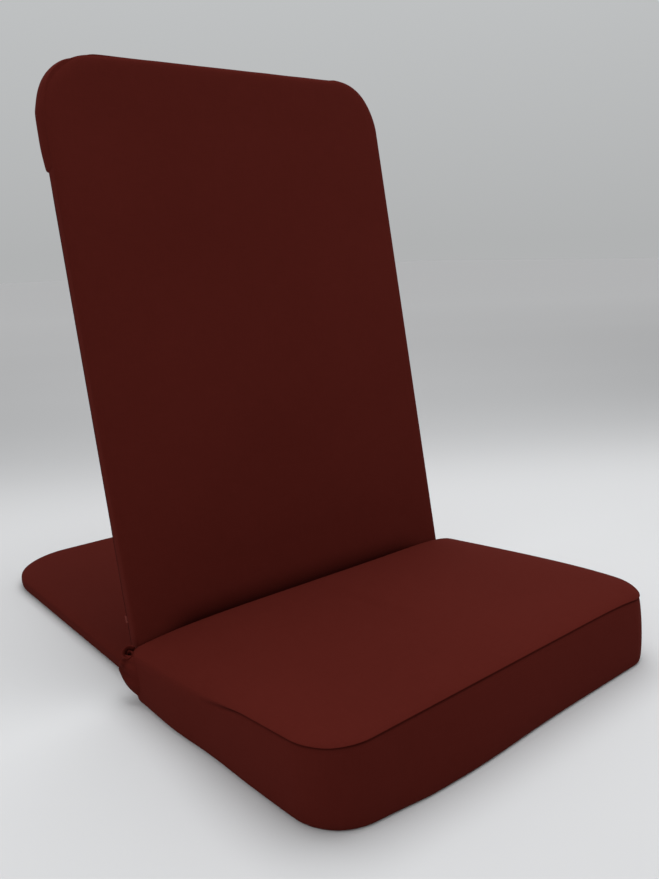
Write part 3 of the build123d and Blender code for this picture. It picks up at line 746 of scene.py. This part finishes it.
class FLOORCHAIR_OT_hinge_gathers(bpy.types.Operator):
    """Bunched cloth at both hinges: the seat cover's end, and a rolled end above it"""
    bl_idname = "floor_chair.hinge_gathers"
    bl_label = "Hinge gathers"

    def execute(self, context):
        for side, name in SIDES:
            self.pouch(side, f"hinge_gather_{name}")
            self.rolled_end(side, f"rolled_end_{name}")
        return {"FINISHED"}

    def pouch(self, side, name):
        """The seat cover's corner, drawn together in pleats toward the hinge."""
        hole_spot, hole_size = Vector((side * 235.5, -74, 41)) * MM, 3.4 * MM
        steps, count, pleats = 16, 48, 9
        rings, marks = [], []
        for n in range(steps + 1):
            s = n / steps
            centre = Vector((side * (211 + 17 * s), -97 + 33 * s, 21 + 16 * s ** 1.5)) * MM
            tall = (24 - 12 * s * s) * MM
            thick = (12 + 3.5 * sin(pi * s) - 4 * s * s) * MM
            ring, dark = [], []
            for k in range(count):
                a = 2 * pi * k / count
                ridge = cos(pleats * a + 2.2 * s)
                pleat = 1 + 0.10 * s * ridge + 0.05 * s * sin(4 * a + 6 * s)
                rise = 1 - 0.08 * sin(pi * s) if sin(a) < 0 else 1
                spot = centre + Vector((side * thick * cos(a) * pleat, -3 * MM * sin(2 * a) * s,
                                        tall * sin(a) * pleat * rise))
                spot.z = max(spot.z, 0.3 * MM)
                ring.append(spot)
                # painted shade: darker in the pleats' hollows, on the lower outer side toward the
                # hinge, and in the hole
                fold_shade = max(0.0, -ridge) * 0.35 * s
                under = 0.40 * max(0.0, cos(a + 0.7)) ** 2 * clamped((s - 0.35) / 0.4)
                hole_shade = 0.6 * exp(-((spot - hole_spot).length / hole_size) ** 2)
                dark.append(min(fold_shade + under + hole_shade, 1.0))
            rings.append(ring)
            marks.append(dark)
        self.gathered(name, rings, marks)

    def rolled_end(self, side, name):
        """A spiral of cloth seen on edge, open at the top."""
        centre = Vector((side * 228.6, -73.5, 52)) * MM
        axis = Vector((side * 0.45, -0.50, 0.74)).normalized()
        first = axis.cross(Vector((0, 0, 1))).normalized()
        second = axis.cross(first) * side
        steps, count, turns, start = 48, 12, 1.25, 0.6
        rings, marks = [], []
        for n in range(steps + 1):
            s = n / steps
            a = 2 * pi * turns * s + start
            reach = (2.0 + 5.2 * s) * MM
            thick = (0.9 + 0.8 * s) * MM
            out = first * cos(a) + second * sin(a)
            droop = (8 + 4 * s) * MM
            lip = centre + axis * (-1.5 * MM * (1 - s) + 0.5 * MM * sin(5 * a))
            ring, dark = [], []
            for k in range(count):
                b = 2 * pi * k / count
                flare = 1.2 * MM * s * (0.5 + 0.5 * sin(b)) ** 2
                ring.append(lip + out * (reach + thick * cos(b) + flare)
                            + axis * droop * (sin(b) - 1) / 2)
                # painted shade on the inner face of the curl and on its inner turns
                dark.append(0.2 if cos(b) < -0.2 and s > 0.3 else 0.1 * (1 - s))
            rings.append(ring)
            marks.append(dark)
        self.gathered(name, rings, marks)

    def gathered(self, name, rings, marks):
        """Cloth through the rings, which stays on the base."""
        piece = skinned(name, [(rings, marks)], maroon_cloth())
        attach(piece, "base")


class FLOORCHAIR_OT_bartacks(bpy.types.Operator):
    """Short rows of pale thread that fasten the backrest cover near its lower corners"""
    bl_idname = "floor_chair.bartacks"
    bl_label = "Bartacks"

    def execute(self, context):
        half = back_panel_size()[0]
        radius, rows, steps, count = 0.45 * MM, 6, 6, 8
        thread = cloth_material("Seam thread", (0.136, 0.032, 0.026), (0.197, 0.050, 0.040),
                                pitch=0.4 * MM, weave_depth=0.5)
        for side, name in SIDES:
            chains = []
            for n in range(rows):
                v = (13.5 + 1.25 * n) * MM
                rings = []
                for k in range(steps + 1):
                    w = (-9.2 + 0.75 * k + 0.3 * sin(2.3 * n)) * MM
                    bulge = (0.45 + 0.25 * sin(pi * k / steps)) * MM
                    middle = on_back(side * half, v, w) + Vector((side * bulge, 0, 0))
                    rings.append([middle + radius * (Vector((side * cos(a), 0, 0)) + UP_SLOPE * sin(a))
                                  for a in (2 * pi * m / count for m in range(count))])
                chains.append((rings, None))
            piece = skinned(f"bartack_{name}", chains, thread)
            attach(piece, "backrest")
        return {"FINISHED"}


class FLOORCHAIR_OT_straps(bpy.types.Operator):
    """Webbing straps looped round the base's cross bar and sewn to the cushion"""
    bl_idname = "floor_chair.straps"
    bl_label = "Straps"

    def execute(self, context):
        low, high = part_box("seat_tethers")
        ply, half = 1.2 * MM, 12.5 * MM
        level, loop = (low.z + high.z) / 2, (high.z - low.z) / 2 - ply / 2
        bar = high.y - loop - ply / 2
        meet = ply / 2 + 0.1 * MM
        start = pi - atan2(meet, loop)
        runs = [low.y + (bar - 2 * loop - low.y) * n / 8 for n in range(9)]
        turns = [start - 2 * start * n / 24 for n in range(1, 24)]
        path = [(y, level + meet, pi / 2) for y in runs]
        path += [(bar + loop * cos(a), level + loop * sin(a), a) for a in turns]
        path += [(y, level - meet, -pi / 2) for y in reversed(runs)]
        chains = []
        for x in (low.x + half, high.x - half):
            rings = []
            for y, z, normal in path:
                out = Vector((0, cos(normal), sin(normal)))
                rings.append([Vector((x + across * half, y, z)) + out * up * ply / 2
                              for across, up in STRAP_SECTION])
            chains.append((rings, None))
        piece = skinned("straps", chains, strap_cloth())
        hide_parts("seat_tethers")
        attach(piece, "base")
        return {"FINISHED"}


class FLOORCHAIR_OT_base_cover(bpy.types.Operator):
    """Thin cloth-covered panel that lies on the floor behind the backrest"""
    bl_idname = "floor_chair.base_cover"
    bl_label = "Base cover"

    def execute(self, context):
        low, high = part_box("base_top_panel")
        half = (high.x - low.x) / 2
        rear = high.y - PIVOT.y
        ahead_of_pivot, front_corner, rear_corner = 14 * MM, 6 * MM, 90 * MM
        outline = (half, -ahead_of_pivot, rear, front_corner, rear_corner)

        def top(u, v, d):
            sag = 1.0 * MM * np.clip((d - 12 * MM) / (50 * MM), 0, 1)
            roll = 4.5 * MM * np.exp(-d / (6 * MM))
            drag = 0.4 * MM * ripples(u, v, 5, 9, 9.4) * np.clip(d / (30 * MM), 0, 1)
            return 19.0 * MM - sag - roll + drag

        def place(u, v, w):
            return Vector((u, PIVOT.y + v, w))

        levels = mm_levels((-0.1, 0.12, 0), (-0.3, 0.35, 0), (-0.1, 0.62, 0), (0.9, 0.84, 0),
                           (2.8, 0.97, 0), (5.5, 1.0, 0))
        # the base's cloth is a darker copy of the maroon cloth: painted shade for the base behind the
        # backrest
        piece = padded_form("base_cover", outline, 6 * MM, top, zero, levels, place,
                            maroon_cloth("Maroon cloth, painted shade for base", depth=0.86))
        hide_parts("base_top_panel", "base_bottom_panel", "base_gusset", "base_hem_strip",
                    "base_pad")
        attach(piece, "base")
        return {"FINISHED"}


class FLOORCHAIR_OT_hardware(bpy.types.Operator):
    """Finishes of the tubes, lugs, rivets, washers, plugs and straps"""
    bl_idname = "floor_chair.hardware"
    bl_label = "Frame and hinge finishes"

    def execute(self, context):
        coat = hardware_material("Dark powder coat", (0.0042, 0.0042, 0.0045), (0.0075, 0.0072, 0.0072),
                                 roughness=0.45, metallic=0.0, grain_scale=1400.0, depth=0.25)
        zinc = hardware_material("Zinc plate", (0.32, 0.32, 0.33), (0.5, 0.5, 0.5),
                                 roughness=0.34, metallic=1.0, grain_scale=700.0, depth=0.12)
        nylon = hardware_material("Black nylon", (0.0035, 0.0035, 0.0036), (0.006, 0.006, 0.006),
                                  roughness=0.55, metallic=0.0, grain_scale=900.0, depth=0.2)
        foam = hardware_material("Raw foam", (0.5, 0.44, 0.3), (0.64, 0.57, 0.42),
                                 roughness=0.9, metallic=0.0, grain_scale=420.0, depth=0.7)
        finishes = {
            coat: ("base_frame", "base_cross_tube", "back_frame", "back_low_bar", "back_mid_bar",
                   "hinge_lugs"),
            zinc: ("pivot_rivets", "stop_pins"),
            nylon: ("pivot_washers", "base_end_plugs", "back_leg_plugs"),
            foam: ("seat_foam", "base_pad", "back_pad"),
            strap_cloth(): ("seat_tethers",),
        }
        dressed = {node for nodes in finishes.values() for node in nodes}
        finishes[maroon_cloth()] = [node for node in frame["nodes"] if node not in dressed]
        for material, nodes in finishes.items():
            for node in nodes:
                solid = frame["nodes"][node]
                if not solid.material_slots:
                    solid.data.materials.append(material)
                for slot in solid.material_slots:
                    slot.material = material
        return {"FINISHED"}


class FLOORCHAIR_OT_stage(bpy.types.Operator):
    """Pale floor, soft studio light and the camera"""
    bl_idname = "floor_chair.stage"
    bl_label = "Studio"

    def execute(self, context):
        stage = context.scene.floor_chair_stage
        self.floor(stage)
        self.light(context, stage)
        self.camera(context, stage)
        context.scene.view_settings.view_transform = "Standard"
        return {"FINISHED"}

    def floor(self, stage):
        """A wide pale sheet, whose grey changes slowly with distance, as painted shade and painted
        light.
        """
        mesh = bpy.data.meshes.new("studio_floor")
        corners = [(x * FLOOR_REACH, y * FLOOR_REACH, 0)
                   for x, y in ((-1, -1), (1, -1), (1, 1), (-1, 1))]
        mesh.from_pydata(corners, [], [(0, 1, 2, 3)])
        floor = bpy.data.objects.new("studio_floor", mesh)
        bpy.context.scene.collection.objects.link(floor)
        material, tree, shader = blank_material("Paper floor")
        place = add(tree, "TexCoord", {}).outputs["Object"]
        heading = (sin(CAMERA_YAW - FLOOR_SKEW), cos(CAMERA_YAW - FLOOR_SKEW), 0)
        ahead = add(tree, "VectorMath", {0: place, 1: heading}, operation="DOT_PRODUCT")
        nearest, farthest = FLOOR_TONES_WITH_PAINTED_LIGHT[0][0], FLOOR_TONES_WITH_PAINTED_LIGHT[-1][0]
        share = add(tree, "MapRange", {"Value": ahead.outputs["Value"], "From Min": nearest,
                                       "From Max": farthest})
        tone = add(tree, "ValToRGB", {"Fac": share.outputs["Result"]})
        tone.color_ramp.interpolation = "B_SPLINE"
        stops = tone.color_ramp.elements
        while len(stops) < len(FLOOR_TONES_WITH_PAINTED_LIGHT):
            stops.new(1.0)
        for stop, (distance, grey) in zip(stops, FLOOR_TONES_WITH_PAINTED_LIGHT):
            stop.position = (distance - nearest) / (farthest - nearest)
            stop.color = [grey * tint for tint in stage.floor_colour] + [1]
        feed(tree, shader, {"Base Color": tone.outputs["Color"], "Roughness": 0.85,
                            "Specular IOR Level": 0.1})
        mesh.materials.append(material)

    def light(self, context, stage):
        """Even light from all round, a plain grey wall, and two soft lamps."""
        world = bpy.data.worlds.new("Studio room")
        context.scene.world = world
        world.use_nodes = True
        tree = world.node_tree
        lit = tree.nodes["Background"]
        feed(tree, lit, {"Color": (1.0, 0.995, 0.985, 1), "Strength": stage.sky})
        heading = add(tree, "TexCoord", {}).outputs["Generated"]
        split = add(tree, "SeparateXYZ", {0: heading})
        wall = colour_ramp(tree, split.outputs["Z"], stage.wall_colour, stage.wall_top, 0.0, 0.25)
        seen = add(tree, "Background", {"Color": wall})
        path = add(tree, "LightPath", {}).outputs
        direct = maths(tree, "MAXIMUM", path["Is Camera Ray"], path["Is Transmission Ray"])
        mix = add(tree, "MixShader", {"Fac": direct, 1: lit.outputs[0], 2: seen.outputs[0]})
        feed(tree, tree.nodes["World Output"], {"Surface": mix.outputs[0]})
        self.softbox(context, "overhead_softbox", OVERHEAD_SPOT, OVERHEAD_SIZE, stage.overhead)
        self.softbox(context, "side_softbox", SIDE_SPOT, SIDE_SIZE, stage.side)

    def softbox(self, context, name, spot, size, power):
        """A rectangular lamp aimed at the chair."""
        lamp_data = bpy.data.lights.new(name, "AREA")
        lamp_data.shape = "RECTANGLE"
        lamp_data.size, lamp_data.size_y = size
        lamp_data.energy = power
        lamp = bpy.data.objects.new(name, lamp_data)
        context.scene.collection.objects.link(lamp)
        lamp.location = spot
        lamp.rotation_euler = (lamp.location - LAMP_AIM).to_track_quat("Z", "Y").to_euler()

    def camera(self, context, stage):
        """The camera that took the photograph."""
        data = bpy.data.cameras.new("photo_camera")
        camera = bpy.data.objects.new("photo_camera", data)
        context.scene.collection.objects.link(camera)
        data.sensor_width = 36.0
        data.sensor_fit = "AUTO"
        data.lens = stage.focal_length
        yaw, pitch, roll = CAMERA_YAW, CAMERA_PITCH, CAMERA_ROLL
        ahead = Vector((sin(yaw) * cos(pitch), cos(yaw) * cos(pitch), -sin(pitch)))
        right = Vector((cos(yaw), -sin(yaw), 0))
        upright = right.cross(ahead)
        rolled_right = right * cos(roll) + upright * sin(roll)
        rolled_up = upright * cos(roll) - right * sin(roll)
        turn = Matrix((rolled_right, rolled_up, -ahead)).transposed().to_4x4()
        camera.matrix_world = Matrix.Translation(CAMERA_SPOT) @ turn
        data.clip_start, data.clip_end = 0.01, 100
        context.scene.camera = camera


class FLOORCHAIR_PT_panel(bpy.types.Panel):
    """Settings and pieces of the floor chair"""
    bl_idname = "FLOORCHAIR_PT_panel"
    bl_label = "Floor Chair"
    bl_space_type = "VIEW_3D"
    bl_region_type = "UI"
    bl_category = "Floor Chair"

    def draw(self, context):
        for group in SETTINGS:
            settings = getattr(context.scene, group)
            box = self.layout.box()
            for name in settings.bl_rna.properties.keys():
                if name not in ("rna_type", "name"):
                    box.prop(settings, name)
        for operator in PIECES:
            self.layout.operator(operator.bl_idname)


SETTINGS = {
    "floor_chair_cloth": FloorChairCloth,
    "floor_chair_seat": FloorChairSeat,
    "floor_chair_back": FloorChairBack,
    "floor_chair_stage": FloorChairStage,
}
PIECES = (
    FLOORCHAIR_OT_stage,
    FLOORCHAIR_OT_seat_cushion,
    FLOORCHAIR_OT_backrest_cover,
    FLOORCHAIR_OT_rear_pocket,
    FLOORCHAIR_OT_hinge_gathers,
    FLOORCHAIR_OT_bartacks,
    FLOORCHAIR_OT_straps,
    FLOORCHAIR_OT_base_cover,
    FLOORCHAIR_OT_hardware,
)


def register():
    for cls in (*SETTINGS.values(), *PIECES, FLOORCHAIR_PT_panel):
        bpy.utils.register_class(cls)
    for name, cls in SETTINGS.items():
        setattr(bpy.types.Scene, name, bpy.props.PointerProperty(type=cls))


def unregister():
    for name in SETTINGS:
        delattr(bpy.types.Scene, name)
    for cls in reversed((*SETTINGS.values(), *PIECES, FLOORCHAIR_PT_panel)):
        bpy.utils.unregister_class(cls)


def main():
    """Builds the scene."""
    register()
    bpy.ops.floor_chair.stage()
    bpy.ops.floor_chair.seat_cushion()
    bpy.ops.floor_chair.backrest_cover()
    bpy.ops.floor_chair.rear_pocket()
    bpy.ops.floor_chair.hinge_gathers()
    bpy.ops.floor_chair.bartacks()
    bpy.ops.floor_chair.straps()
    bpy.ops.floor_chair.base_cover()
    bpy.ops.floor_chair.hardware()


if __name__ == "__main__":
    main()
